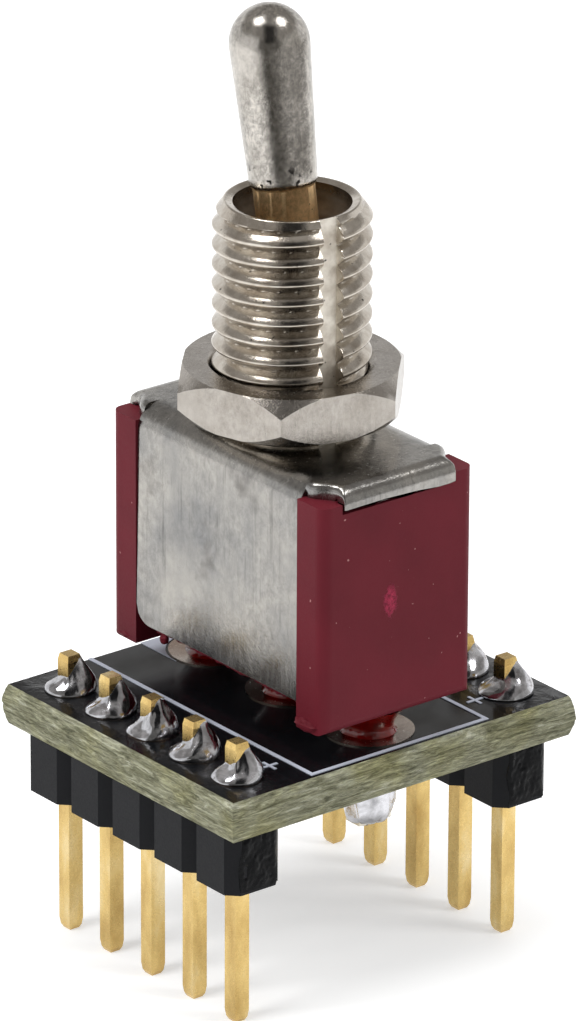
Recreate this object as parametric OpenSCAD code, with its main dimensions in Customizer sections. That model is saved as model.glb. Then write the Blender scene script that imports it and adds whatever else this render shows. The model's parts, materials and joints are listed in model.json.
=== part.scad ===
// Miniature toggle switch, one pole and two throws, soldered to a small carrier board
// that stands on two five-pin headers.
// Millimetres, +Z up. X runs across the two pin rows, Y runs along them.
// The origin lies under the middle of the board, in the plane of the pin tips.

/* [Carrier board] */
// Board size across the pin rows
board_x = 15.9; // [15.6:0.1:16.6]
// Board size along the pin rows
board_y = 13.7; // [13.5:0.1:14.5]
// Board thickness
board_t = 1.6; // [1.2:0.1:2.0]
// How far the sawn edges swell past the faces
board_swell = 0.20; // [0.1:0.05:0.3]
// Width of the printed lines
ink_w = 0.17; // [0.12:0.01:0.25]

/* [Pin headers] */
// Distance between neighbouring pins of a row
pin_pitch = 2.54; // [2.50:0.01:2.56]
// Distance between the two rows
row_gap = 12.7; // [12.5:0.05:12.8]
// Side of the square pins
pin_w = 0.64; // [0.60:0.01:0.66]
// Pin length below the plastic body
pin_reach = 5.70; // [5.0:0.1:7.0]
// Pin length above the board
pin_proud = 1.42; // [1.2:0.02:1.6]
// Height of the plastic body
header_h = 2.54; // [2.2:0.02:2.8]
// Width of the plastic body
header_w = 2.5; // [2.3:0.02:2.54]
// Size of the notches between the segments of the body
header_notch = 0.45; // [0.3:0.05:0.6]

/* [Housing] */
// Housing size across the terminals' row
body_x = 7.10; // [6.9:0.05:7.2]
// Housing length over its end flanges
body_y = 12.70; // [12.5:0.02:12.8]
// Housing height at the flanges
body_h = 9.0; // [8.8:0.05:9.4]
// Gap between the board and the housing
body_lift = 1.15; // [1.0:0.05:1.3]
// Thickness of the end flanges
flange_t = 1.52; // [1.4:0.02:1.6]
// Radius of the flanges' upright edges
flange_r = 0.45; // [0.3:0.05:0.6]
// Thickness of the housing floor
floor_t = 1.5; // [1.3:0.05:1.6]

/* [Metal frame] */
// Sheet thickness
sheet_t = 0.42; // [0.35:0.01:0.45]
// Outer radius of the long bends
bend_r = 1.0; // [0.7:0.05:1.1]
// Overall length over the end tabs
frame_y = 12.90; // [12.84:0.02:13.1]
// Width of the end tabs
tab_w = 5.2; // [4.8:0.1:5.4]
// Depth of the end tabs
tab_h = 0.90; // [0.8:0.05:1.1]
// Height of the side plates
side_h = 8.65; // [8.2:0.05:8.8]

/* [Bushing and nut] */
// Thread crest diameter
bush_d = 5.92; // [5.86:0.01:5.98]
// Bushing length above the frame
bush_l = 8.83; // [8.6:0.01:9.4]
// Distance between thread crests
thread_pitch = 0.77; // [0.75:0.01:0.80]
// Depth of the thread
thread_depth = 0.40; // [0.30:0.01:0.42]
// Width of the keyway
key_w = 0.84; // [0.6:0.02:1.0]
// Mouth diameter of the bushing
mouth_d = 4.40; // [4.3:0.02:4.44]
// Nut size across flats
nut_af = 8.0; // [7.8:0.1:9.0]
// Nut thickness
nut_t = 1.8; // [1.6:0.05:2.0]
// Height of the nut above the frame
nut_lift = 0.70; // [0.5:0.05:1.0]

/* [Lever] */
// Radius of the rounded lever end
tip_r = 1.50; // [1.4:0.02:1.55]
// Radius of the lever at its shoulder
shoulder_r = 1.27; // [1.2:0.01:1.3]
// Distance from the pivot to the centre of the rounded end
tip_reach = 8.48; // [8.0:0.02:9.5]
// Distance from the pivot to the shoulder
shoulder_reach = 3.3; // [3.1:0.05:3.5]
// Radius of the lever's pivot ball
ball_r = 1.90; // [1.86:0.01:1.92]
// Lean of the lever at each end of its travel, in degrees
lever_tilt = 9.4; // [8.5:0.1:9.6]
// Depth of the pivot below the bushing's rim
pivot_depth = 2.75; // [2.7:0.01:2.85]

/* [Contacts] */
// Distance between neighbouring terminals
term_pitch = 4.70; // [4.66:0.01:4.72]
// Width of a terminal blade
term_w = 1.5; // [1.3:0.05:1.55]
// Thickness of a terminal blade
term_t = 0.8; // [0.7:0.02:0.84]
// Length of the terminals below the board
term_reach = 2.0; // [1.8:0.05:2.1]
// Thickness of the rocking blade
rocker_t = 0.34; // [0.3:0.01:0.36]
// Lean of the rocking blade at each end of its travel, in degrees
rocker_tilt = 6.5; // [6.0:0.1:7.0]
// Radius of the plunger
plunger_r = 0.90; // [0.86:0.01:0.92]

/* [Hidden] */
$fn = 64;

// Allowance that makes a cut pass right through
cut = 1;
// Radial clearance of turning fits
run_gap = 0.03;

// Pins
pin_count = 5;
pin_taper = 0.42;
pin_nose_h = 0.14;
pin_nose_w = 0.56;
pin_tip_w = 0.42;
pin_crown_h = 0.25;
pin_crown = 0.05;
header_shift = 0.05;

// Heights from the pin tips up
board_z = pin_reach + header_h;
top_z = board_z + board_t;
pin_top_z = top_z + pin_proud;
pad_t = 0.05;
pad_z = top_z + pad_t;
pad_r = 0.95;
pin_hole_r = 0.53;
barrel_t = 0.05;
term_pad_r = 1.70;
term_hole_r = 1.0;

// Switch on the board
switch_x = 0.10;
switch_y = 0.02;
body_z = top_z + body_lift;
flange_z = body_z + body_h;
under_z = flange_z + 0.15;
plate_z = under_z + sheet_t;
side_z = plate_z - side_h;
side_y = body_y / 2 - flange_t;
plate_recess = 0.1;
frame_x = body_x - 2 * plate_recess;
plate_half = frame_x / 2 - bend_r;
side_corner_r = 0.8;
side_nose_r = 0.15;
tab_bend_r = 0.6;
tab_gap = 0.05;
core_x = frame_x - 2 * sheet_t;
core_show = 0.15;
foot_z = side_z - core_show;
foot_inset = 1.2;
foot_r = 0.35;
wall_x = 0.72;
wall_y = 0.86;
cavity_x = core_x - 2 * wall_x;
cavity_y = body_y - 2 * wall_y;
floor_z = body_z + floor_t;

// Bushing
rim_z = plate_z + bush_l;
rim_r = 2.52;
rim_h = 0.6;
bush_r = bush_d / 2;
root_r = bush_r - thread_depth;
crest_w = 0.12;
flank_w = 0.26;
top_crest_drop = 0.95;
neck_r = 2.6;
base_r = 3.3;
base_h = 0.2;
base_gap = 0.03;
low_bore_r = 2.2;
throat_r = 1.55;
throat_h = 0.2;
seat_r = ball_r + run_gap;
pivot_z = rim_z - pivot_depth;
throat_z = pivot_z + sqrt(seat_r * seat_r - throat_r * throat_r);
top_crest_z = rim_z - top_crest_drop;
run_out_w = 0.16;
run_out_z = top_crest_z - thread_pitch * floor((top_crest_z - plate_z - run_out_w) / thread_pitch);
key_depth = 0.48;
key_turn = 7;
groove_r = 2.30;

// Pivot pin
pin_r = 0.38;
pin_half = 2.24;

// Nut
nut_z = plate_z + nut_lift;
nut_ac = nut_af / cos(30);
thread_gap = 0.05;
nut_bore_r = root_r + thread_gap;
nut_mouth_r = bush_r + 0.16;
nut_mouth = nut_mouth_r - nut_bore_r;
nut_face_r = 0.505 * nut_af;
nut_chamfer = nut_ac / 2 - nut_face_r;
nut_turn = 46.8;

// Turns of thread that stand free above the nut, the lowest in the nut's mouth
free_z = nut_z + nut_t - (nut_mouth_r - bush_r - thread_gap);
crest_count = 1 + floor((top_crest_z - crest_w / 2 - free_z) / thread_pitch);

// Lever below the pivot, as distances along its axis
neck_lever_r = 1.15;
stem_r = 0.9;
sleeve_r = 1.35;
sleeve_bore_r = plunger_r + run_gap;

// Contacts
axis_z = floor_z + 1.4;
knuckle_r = term_t / 2;
knuckle_gap = 0.04;
knuckle_wall = 0.3;
prong_in = 1.14;
prong_out = 1.62;
ear_y = 0.98;
slot_in = prong_in - 0.06;
rocker_rise = 6;
rocker_half = 4.75;
rocker_x = 0.95;
button_y = 4.2;
button_r = 0.55;
touch_gap = 0.02;
head_t = 0.5;
head_x = 0.95;
head_in = 3.5;
head_out = term_pitch + term_t / 2;
low_side = rocker_rise - rocker_tilt;
button_z = axis_z - rocker_t / 2 + button_y * tan(low_side) - touch_gap;
plunger_gap = 0.03;
plunger_tip = pivot_z - axis_z - rocker_t / 2 - plunger_gap;
plunger_len = 2.7;
plunger_proud = 1.45;
sleeve_end = plunger_tip - plunger_proud;
sleeve_bore_top = sleeve_end - 2.8;
sleeve_top = sleeve_bore_top - 1.0;

// Spring between the sleeve's bore and the plunger
spring_wire = 0.13;
spring_r = plunger_r - spring_wire - 0.02;
spring_turns = 4.5;
spring_lo = -(plunger_tip - plunger_len) + spring_wire;
spring_hi = -sleeve_bore_top - spring_wire;

// Seals and solder
seal_top_r = 1.50;
seal_foot_r = 1.04;
solder_r = 0.94;
solder_neck_r = 0.5;
solder_h = 0.98;
blob_r = 1.02;
blob_cover = 0.38;
blob_h = term_reach + blob_cover - pad_t;

// Points on a circle of radius r from angle a to angle b, in n steps
function arc(r, a, b, n, c = [0, 0]) =
    [for (i = [0 : n]) let (t = a + (b - a) * i / n) c + r * [cos(t), sin(t)]];

// Outline of a rectangle with round corners
function round_box(x, y, r) = concat(
    arc(r, 0, 90, 8, [x / 2 - r, y / 2 - r]),
    arc(r, 90, 180, 8, [r - x / 2, y / 2 - r]),
    arc(r, 180, 270, 8, [r - x / 2, r - y / 2]),
    arc(r, 270, 360, 8, [x / 2 - r, r - y / 2])
);

// Box centred in X and Y that starts at height z
module slab(x, y, z, h) {
    translate([-x / 2, -y / 2, z]) cube([x, y, h]);
}

// Profile drawn in X and Z, as long as len along Y and centred there
module along_y(len) {
    translate([0, len / 2, 0]) rotate([90, 0, 0]) linear_extrude(len) children();
}

// Profile drawn in Y and Z, as long as len along X and centred there
module along_x(len) {
    translate([-len / 2, 0, 0]) rotate([90, 0, 90]) linear_extrude(len) children();
}

module at_switch() {
    translate([switch_x, switch_y, 0]) children();
}

// Frame of the leaning lever: its pivot is the origin and its axis is Z
module at_pivot() {
    at_switch() translate([0, 0, pivot_z]) rotate([-lever_tilt, 0, 0]) children();
}

// Frame of the rocking blade, about the tops of the middle terminal's prongs
module at_fulcrum() {
    at_switch() translate([0, 0, axis_z]) rotate([rocker_tilt, 0, 0]) children();
}

// ---- lever and what rides in it ----

lever_outline = concat(
    [[0, sqrt(ball_r * ball_r - neck_lever_r * neck_lever_r) - 0.3]],
    [[neck_lever_r, sqrt(ball_r * ball_r - neck_lever_r * neck_lever_r) - 0.3]],
    [[neck_lever_r, shoulder_reach - 0.12], [shoulder_r, shoulder_reach]],
    arc(tip_r, 0, 90, 12, [0, tip_reach])
);

module lever() {
    color("lightgray") at_pivot() {
        difference() {
            union() {
                rotate_extrude() polygon(lever_outline);
                sphere(ball_r);
                translate([0, 0, -sleeve_top - 0.1]) cylinder(h = sleeve_top, r = stem_r);
                translate([0, 0, -sleeve_end]) cylinder(h = sleeve_end - sleeve_top, r = sleeve_r);
            }
            translate([0, 0, -sleeve_end - cut])
                cylinder(h = sleeve_end - sleeve_bore_top + cut, r = sleeve_bore_r);
            rotate([0, 90, 0]) cylinder(h = 3 * ball_r, r = pin_r, center = true);
        }
    }
}

module pivot_pin() {
    color("silver") at_pivot()
        rotate([0, 90, 0]) cylinder(h = 2 * pin_half, r = pin_r, center = true);
}

module plunger() {
    color("ivory") at_pivot() translate([0, 0, -plunger_tip])
        rotate_extrude() polygon(concat(
            [[0, plunger_len]],
            arc(plunger_r, -90, 0, 10, [0, plunger_r]),
            [[plunger_r, plunger_len]]
        ));
}

// Round wire swept along a helix with a closed end at each side
module coil(r, wire, lo, hi, turns) {
    sides = 6;
    steps = ceil(turns * 16);
    pts = [for (i = [0 : steps], j = [0 : sides - 1])
        let (a = 360 * turns * i / steps, b = 360 * j / sides, q = r + wire * cos(b))
        [q * cos(a), q * sin(a), lo + (hi - lo) * i / steps + wire * sin(b)]];
    skin = [for (i = [0 : steps - 1], j = [0 : sides - 1])
        let (k = i * sides, m = (j + 1) % sides)
        [k + j, k + sides + j, k + sides + m, k + m]];
    first = [for (j = [0 : sides - 1]) j];
    last = [for (j = [0 : sides - 1]) steps * sides + sides - 1 - j];
    polyhedron(pts, concat(skin, [first], [last]));
}

module plunger_spring() {
    color("gray") at_pivot()
        coil(spring_r, spring_wire, spring_lo, spring_hi, spring_turns);
}

// ---- bushing, nut and frame ----

function crest_z(i) = top_crest_z - (crest_count - 1 - i) * thread_pitch;

bushing_outline = concat(
    [[low_bore_r, under_z - base_h], [base_r, under_z - base_h], [base_r, under_z]],
    [[neck_r, under_z], [neck_r, plate_z], [root_r, plate_z]],
    [[root_r, run_out_z - run_out_w], [bush_r, run_out_z], [root_r, run_out_z + crest_w / 2 + flank_w]],
    [for (i = [0 : crest_count - 1], k = [0 : 3])
        [k == 0 || k == 3 ? root_r : bush_r,
         crest_z(i) + (k < 2 ? -1 : 1) * (crest_w / 2 + (k == 0 || k == 3 ? flank_w : 0))]],
    [[bush_r - 0.18, rim_z - rim_h], [rim_r, rim_z]],
    [[mouth_d / 2, rim_z], [mouth_d / 2, throat_z + throat_h + mouth_d / 2 - throat_r]],
    [[throat_r, throat_z + throat_h]],
    arc(seat_r, acos(throat_r / seat_r), 0, 8, [0, pivot_z])
);

module bushing() {
    color("silver") at_switch() difference() {
        rotate_extrude() polygon(bushing_outline);
        rotate([0, 0, -key_turn])
            translate([-key_w / 2, -bush_r - cut, plate_z])
                cube([key_w, key_depth + cut, bush_l + cut]);
        translate([-groove_r, -pin_r - run_gap, under_z - cut])
            cube([2 * groove_r, 2 * (pin_r + run_gap), pivot_z - under_z + cut]);
        translate([0, 0, pivot_z]) rotate([0, 90, 0])
            cylinder(h = 2 * groove_r, r = pin_r + run_gap, center = true);
        for (s = [-1, 1]) translate([s * (plate_half - base_gap + cut), 0, 0])
            slab(2 * cut, 2 * base_r, under_z - base_h - cut, base_h + cut);
    }
}

nut_outline = [
    [nut_mouth_r, 0], [nut_face_r, 0],
    [nut_ac / 2, nut_chamfer], [nut_ac / 2, nut_t - nut_chamfer],
    [nut_face_r, nut_t], [nut_mouth_r, nut_t],
    [nut_bore_r, nut_t - nut_mouth], [nut_bore_r, nut_mouth]
];

module mounting_nut() {
    color("lightgray") at_switch() translate([0, 0, nut_z]) intersection() {
        rotate([0, 0, nut_turn]) cylinder(h = nut_t, r = nut_ac / 2, $fn = 6);
        rotate_extrude() polygon(nut_outline);
    }
}

// Cross-section of the folded sheet: outer line, then the inner line back
frame_section = concat(
    [[frame_x / 2, side_z]],
    arc(bend_r, 0, 90, 8, [frame_x / 2 - bend_r, plate_z - bend_r]),
    arc(bend_r, 90, 180, 8, [bend_r - frame_x / 2, plate_z - bend_r]),
    [[-frame_x / 2, side_z], [-core_x / 2, side_z]],
    arc(bend_r - sheet_t, 180, 90, 8, [bend_r - frame_x / 2, plate_z - bend_r]),
    arc(bend_r - sheet_t, 90, 0, 8, [frame_x / 2 - bend_r, plate_z - bend_r]),
    [[core_x / 2, side_z]]
);

// Lengthwise section of the top plate and its end tabs
tab_section = concat(
    [[frame_y / 2, plate_z - tab_h]],
    arc(tab_bend_r, 0, 90, 6, [frame_y / 2 - tab_bend_r, plate_z - tab_bend_r]),
    arc(tab_bend_r, 90, 180, 6, [tab_bend_r - frame_y / 2, plate_z - tab_bend_r]),
    [[-frame_y / 2, plate_z - tab_h], [sheet_t - frame_y / 2, plate_z - tab_h]],
    arc(tab_bend_r - sheet_t, 180, 90, 6, [tab_bend_r - frame_y / 2, plate_z - tab_bend_r]),
    arc(tab_bend_r - sheet_t, 90, 0, 6, [frame_y / 2 - tab_bend_r, plate_z - tab_bend_r]),
    [[frame_y / 2 - sheet_t, plate_z - tab_h]]
);

// Edge of the top plate over one flange, from the long bend to the end tab
lip_half = frame_x / 2 - 0.3;
lip_end = frame_y / 2 - tab_bend_r;
lip_edge = [
    [lip_half, side_y], [lip_half - 0.06, side_y + 0.45 * (lip_end - side_y)],
    [lip_half - 0.16, side_y + 0.75 * (lip_end - side_y)],
    [tab_w / 2 + 0.12, lip_end], [tab_w / 2, lip_end + 0.12]
];

// Plan of the top plate between the bends, narrowing over the flanges to the tabs
function mirrored(list, sx, sy) = [for (p = list) [sx * p[0], sy * p[1]]];
function backward(list) = [for (i = [len(list) - 1 : -1 : 0]) list[i]];
plate_plan = concat(
    [[plate_half, side_y]], lip_edge,
    [[tab_w / 2, frame_y / 2], [-tab_w / 2, frame_y / 2]],
    backward(mirrored(lip_edge, -1, 1)), [[-plate_half, side_y]],
    [[-plate_half, -side_y]], mirrored(lip_edge, -1, -1),
    [[-tab_w / 2, -frame_y / 2], [tab_w / 2, -frame_y / 2]],
    backward(mirrored(lip_edge, 1, -1)), [[plate_half, -side_y]]
);

// Turned-down rim under that edge, resting on the flange
rim_plan = concat(
    [for (i = [0 : 3]) lip_edge[i]],
    [for (i = [3 : -1 : 0]) lip_edge[i] - [sheet_t, 0]]
);

// Side view of the side plates: the lower corner is round at the rear and almost square in front
side_view = concat(
    [[side_y, plate_z + cut], [-side_y, plate_z + cut]],
    arc(side_nose_r, 180, 270, 4, [side_nose_r - side_y, side_z + side_nose_r]),
    arc(side_corner_r, 270, 360, 8, [side_y - side_corner_r, side_z + side_corner_r])
);

module frame() {
    color("silver") at_switch() difference() {
        union() {
            intersection() {
                along_y(2 * side_y) polygon(frame_section);
                along_x(frame_x + cut) polygon(side_view);
            }
            intersection() {
                along_x(frame_x) polygon(tab_section);
                translate([0, 0, plate_z - tab_h - cut]) linear_extrude(tab_h + 2 * cut) polygon(plate_plan);
            }
            for (sx = [-1, 1], sy = [-1, 1]) scale([sx, sy, 1])
                translate([0, 0, flange_z]) linear_extrude(plate_z - flange_z - sheet_t / 2) polygon(rim_plan);
        }
        translate([0, 0, under_z - cut]) cylinder(h = sheet_t + 2 * cut, r = neck_r);
    }
}

// ---- housing ----

// End view along X of one flange, with its lower edge rounded
flange_view = concat(
    arc(foot_r, 270, 360, 5, [body_y / 2 - foot_r, body_z + foot_r]),
    [[body_y / 2, flange_z], [-body_y / 2, flange_z]],
    arc(foot_r, 180, 270, 5, [foot_r - body_y / 2, body_z + foot_r])
);

module housing() {
    color("maroon") at_switch() difference() {
        union() {
            intersection() {
                linear_extrude(flange_z) polygon(round_box(body_x, body_y, flange_r));
                along_x(body_x + cut) polygon(flange_view);
                difference() {
                    slab(body_x + cut, body_y + cut, 0, flange_z + cut);
                    slab(body_x + 2 * cut, 2 * side_y, -cut, flange_z + 3 * cut);
                }
            }
            along_y(2 * side_y) polygon([
                [core_x / 2 - foot_inset, body_z], [core_x / 2 - foot_inset, foot_z],
                [core_x / 2, foot_z], [core_x / 2, plate_z - bend_r],
                [core_x / 2 - bend_r + sheet_t, under_z], [bend_r - sheet_t - core_x / 2, under_z],
                [-core_x / 2, plate_z - bend_r], [-core_x / 2, foot_z],
                [foot_inset - core_x / 2, foot_z], [foot_inset - core_x / 2, body_z]
            ]);
        }
        slab(cavity_x, cavity_y, floor_z, body_h + cut);
        for (i = [-1 : 1])
            translate([0, i * term_pitch, 0]) slab(term_w, term_t, 0, floor_z + cut);
        for (s = [-1, 1])
            translate([0, s * (frame_y / 2 - sheet_t - tab_gap + cut), 0])
                slab(tab_w + 2 * tab_gap, 2 * cut, plate_z - tab_h - tab_gap, tab_h + cut);
        translate([0, 0, under_z - base_h]) cylinder(h = cut, r = base_r + base_gap);
    }
}

// ---- contacts ----

// Blade through the floor, the seal and the board
module blade() {
    slab(term_w, term_t, board_z - term_reach, floor_z - board_z + term_reach);
}

module end_terminal(s) {
    color("silver") at_switch() {
        translate([0, s * term_pitch, 0]) blade();
        translate([0, s * (head_in + head_out) / 2, 0])
            slab(2 * head_x, head_out - head_in, floor_z, head_t);
    }
}

module terminal_front() {
    end_terminal(-1);
}

module terminal_rear() {
    end_terminal(1);
}

module terminal_centre() {
    color("silver") at_switch() {
        blade();
        slab(2 * prong_out, term_t, floor_z, head_t);
        for (s = [-1, 1]) translate([s * (prong_in + prong_out) / 2, 0, 0]) {
            slab(prong_out - prong_in, term_t, floor_z, axis_z - floor_z);
            translate([0, 0, axis_z]) rotate([0, 90, 0])
                cylinder(h = prong_out - prong_in, r = knuckle_r, center = true);
        }
    }
}

module contact(s) {
    z0 = floor_z + head_t;
    color("white") at_switch() translate([0, s * button_y, 0]) rotate_extrude() polygon([
        [0, z0], [button_r, z0], [button_r, button_z - 0.1],
        [button_r - 0.12, button_z], [0, button_z]
    ]);
}

module contact_front() {
    contact(-1);
}

module contact_rear() {
    contact(1);
}

module rocker_contact() {
    rise = rocker_half * tan(rocker_rise);
    ear_rise = ear_y * tan(rocker_rise);
    h = rocker_t / 2;
    hole_r = knuckle_r + knuckle_gap;
    color("gainsboro") at_fulcrum() difference() {
        union() {
            along_x(2 * rocker_x) polygon([
                [-rocker_half, rise - h], [0, -h], [rocker_half, rise - h],
                [rocker_half, rise + h], [0, h], [-rocker_half, rise + h]
            ]);
            along_x(2 * prong_out) polygon([
                [-ear_y, ear_rise - h], [0, -h], [ear_y, ear_rise - h],
                [ear_y, ear_rise + h], [0, h], [-ear_y, ear_rise + h]
            ]);
            for (s = [-1, 1]) translate([s * (slot_in + prong_out) / 2, 0, 0])
                intersection() {
                    rotate([0, 90, 0])
                        cylinder(h = prong_out - slot_in, r = hole_r + knuckle_wall, center = true);
                    slab(2 * cut, 4 * hole_r, 0, 4 * hole_r);
                }
        }
        for (s = [-1, 1]) translate([s * (slot_in + prong_out + cut) / 2, 0, 0]) {
            rotate([0, 90, 0]) cylinder(h = prong_out - slot_in + cut, r = hole_r, center = true);
            slab(prong_out - slot_in + cut, 2 * hole_r, -1, 1);
        }
    }
}

// Collar of sealing resin where a blade leaves the housing
module seal(i) {
    h = body_lift - pad_t;
    color("firebrick") at_switch() translate([0, i * term_pitch, 0]) difference() {
        rotate_extrude() polygon([
            [0, pad_z], [seal_foot_r, pad_z], [seal_foot_r + 0.03, pad_z + 0.35 * h],
            [seal_foot_r + 0.14, pad_z + 0.7 * h], [seal_top_r, body_z], [0, body_z]
        ]);
        slab(term_w, term_t, 0, 2 * body_z);
    }
}

module seal_front() {
    seal(-1);
}

module seal_centre() {
    seal(0);
}

module seal_rear() {
    seal(1);
}

// ---- board ----

// Places its children at the five pins of one row, or of both
module at_pins(sides) {
    for (s = sides, i = [0 : pin_count - 1])
        translate([s * row_gap / 2, header_shift + (i - 2) * pin_pitch, 0]) children();
}

module at_terminals() {
    for (i = [-1 : 1]) translate([switch_x, switch_y + i * term_pitch, 0]) children();
}

// Upright section of the board, whose sawn edges swell past its faces
function board_view(w) = [
    [w / 2, board_z], [w / 2 + board_swell, board_z + board_t / 2], [w / 2, top_z],
    [-w / 2, top_z], [-w / 2 - board_swell, board_z + board_t / 2], [-w / 2, board_z]
];

module circuit_board() {
    color([0.08, 0.09, 0.09]) difference() {
        intersection() {
            along_y(board_y + 2 * board_swell) polygon(board_view(board_x));
            along_x(board_x + 2 * board_swell) polygon(board_view(board_y));
        }
        at_pins([-1, 1]) translate([0, 0, board_z - cut])
            cylinder(h = board_t + 2 * cut, r = pin_hole_r);
        at_terminals() translate([0, 0, board_z - cut])
            cylinder(h = board_t + 2 * cut, r = term_hole_r + barrel_t);
    }
}

// Printed outline of the switch, alignment crosses and a filled field at the rear
module board_legend() {
    box_half = 4.11;
    front = ink_w - board_y / 2;
    ink_t = 0.03;
    ink_gap = 0.1;
    cross_x = 4.87;
    cross_l = 0.75;
    field_half = 1.7;
    field_y = 4.65;
    color("white") translate([0, 0, top_z]) linear_extrude(ink_t) {
        for (s = [-1, 1]) {
            translate([s * box_half - ink_w / 2, front]) square([ink_w, board_y / 2 - front]);
            translate([s * cross_x, 0.05 - 2 * pin_pitch]) {
                square([cross_l, 0.7 * ink_w], center = true);
                square([0.7 * ink_w, cross_l], center = true);
            }
        }
        difference() {
            union() {
                translate([-box_half, front]) square([2 * box_half, ink_w]);
                translate([-field_half, field_y]) square([2 * field_half, board_y / 2 - field_y]);
            }
            for (s = [-1, 1])
                translate([switch_x, switch_y + s * term_pitch]) circle(term_pad_r + ink_gap);
        }
    }
}

// Plated hole: a ring on the top face, and a barrel down through the board
module plated_hole(ring, hole, both) {
    difference() {
        union() {
            translate([0, 0, top_z]) cylinder(h = pad_t, r = ring);
            translate([0, 0, board_z]) cylinder(h = board_t, r = hole);
            if (both) translate([0, 0, board_z - pad_t]) cylinder(h = pad_t, r = ring);
        }
        translate([0, 0, board_z - cut]) cylinder(h = board_t + 2 * cut, r = hole - barrel_t);
    }
}

module header_pads() {
    color("tan") at_pins([-1, 1]) plated_hole(pad_r, pin_hole_r, false);
}

module terminal_pads() {
    color("silver") at_terminals() plated_hole(term_pad_r, term_hole_r + barrel_t, true);
}

// ---- headers ----

// One segment of the body, an upright prism with notched corners
segment_plan = [for (a = [0 : 3]) let (
        x = (a == 0 || a == 3 ? 1 : -1) * header_w / 2,
        y = (a < 2 ? 1 : -1) * pin_pitch / 2,
        sx = sign(x) * header_notch,
        sy = sign(y) * header_notch)
    each (a % 2 == 0 ? [[x, y - sy], [x - sx, y]] : [[x - sx, y], [x, y - sy]])];

module header(s) {
    color([0.07, 0.07, 0.08]) difference() {
        at_pins([s]) translate([0, 0, pin_reach]) linear_extrude(header_h) polygon(segment_plan);
        at_pins([s]) slab(pin_w, pin_w, 0, 2 * board_z);
    }
}

module header_left() {
    header(-1);
}

module header_right() {
    header(1);
}

// Upright view of a pin with a blunt rounded tip and a slightly tapered top
pin_view = [
    [-pin_tip_w / 2, 0], [pin_tip_w / 2, 0], [pin_nose_w / 2, pin_nose_h], [pin_w / 2, pin_taper],
    [pin_w / 2, pin_top_z - pin_crown_h], [pin_w / 2 - pin_crown, pin_top_z],
    [pin_crown - pin_w / 2, pin_top_z], [-pin_w / 2, pin_top_z - pin_crown_h], [-pin_w / 2, pin_taper],
    [-pin_nose_w / 2, pin_nose_h]
];

module pin(s, i) {
    color("gold") translate([s * row_gap / 2, header_shift + (i - 3) * pin_pitch, 0]) intersection() {
        along_y(pin_w) polygon(pin_view);
        along_x(pin_w) polygon(pin_view);
    }
}

module pin_left_1() {
    pin(-1, 1);
}

module pin_left_2() {
    pin(-1, 2);
}

module pin_left_3() {
    pin(-1, 3);
}

module pin_left_4() {
    pin(-1, 4);
}

module pin_left_5() {
    pin(-1, 5);
}

module pin_right_1() {
    pin(1, 1);
}

module pin_right_2() {
    pin(1, 2);
}

module pin_right_3() {
    pin(1, 3);
}

module pin_right_4() {
    pin(1, 4);
}

module pin_right_5() {
    pin(1, 5);
}

// ---- solder ----

// Fillet around a pin, drawn up the pin to height h
module fillet(h) {
    difference() {
        rotate_extrude() polygon([
            [0, pad_z], [solder_r, pad_z], [0.97 * solder_r, pad_z + 0.12 * h],
            [0.80 * solder_r, pad_z + 0.32 * h], [0.62 * solder_r, pad_z + 0.55 * h],
            [solder_neck_r, pad_z + 0.8 * h], [0.92 * solder_neck_r, pad_z + h], [0, pad_z + h]
        ]);
        slab(pin_w, pin_w, 0, 2 * top_z);
    }
}

module solder_row(s) {
    color("silver") for (i = [0 : pin_count - 1])
        translate([s * row_gap / 2, header_shift + (i - 2) * pin_pitch, 0])
            fillet(solder_h * (1 + 0.14 * sin(s * 100 + i * 140)));
}

module solder_left() {
    solder_row(-1);
}

module solder_right() {
    solder_row(1);
}

// Drop of solder over the end of a terminal, below the board
module drop(i) {
    z0 = board_z - pad_t;
    color("silver") translate([switch_x, switch_y + i * term_pitch, 0]) difference() {
        rotate_extrude() polygon([
            [0, z0], [blob_r, z0], [0.96 * blob_r, z0 - 0.4 * blob_h],
            [0.84 * blob_r, z0 - 0.75 * blob_h], [0.6 * blob_r, z0 - 0.94 * blob_h],
            [0.25 * blob_r, z0 - blob_h], [0, z0 - blob_h]
        ]);
        slab(term_w, term_t, board_z - term_reach, term_reach + cut);
    }
}

module solder_front() {
    drop(-1);
}

module solder_centre() {
    drop(0);
}

module solder_rear() {
    drop(1);
}

lever();
pivot_pin();
plunger();
plunger_spring();
bushing();
mounting_nut();
frame();
housing();
rocker_contact();
terminal_front();
terminal_centre();
terminal_rear();
contact_front();
contact_rear();
seal_front();
seal_centre();
seal_rear();
circuit_board();
board_legend();
header_pads();
terminal_pads();
header_left();
header_right();
pin_left_1();
pin_left_2();
pin_left_3();
pin_left_4();
pin_left_5();
pin_right_1();
pin_right_2();
pin_right_3();
pin_right_4();
pin_right_5();
solder_left();
solder_right();
solder_front();
solder_centre();
solder_rear();
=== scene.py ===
import math
from collections import namedtuple

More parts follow.
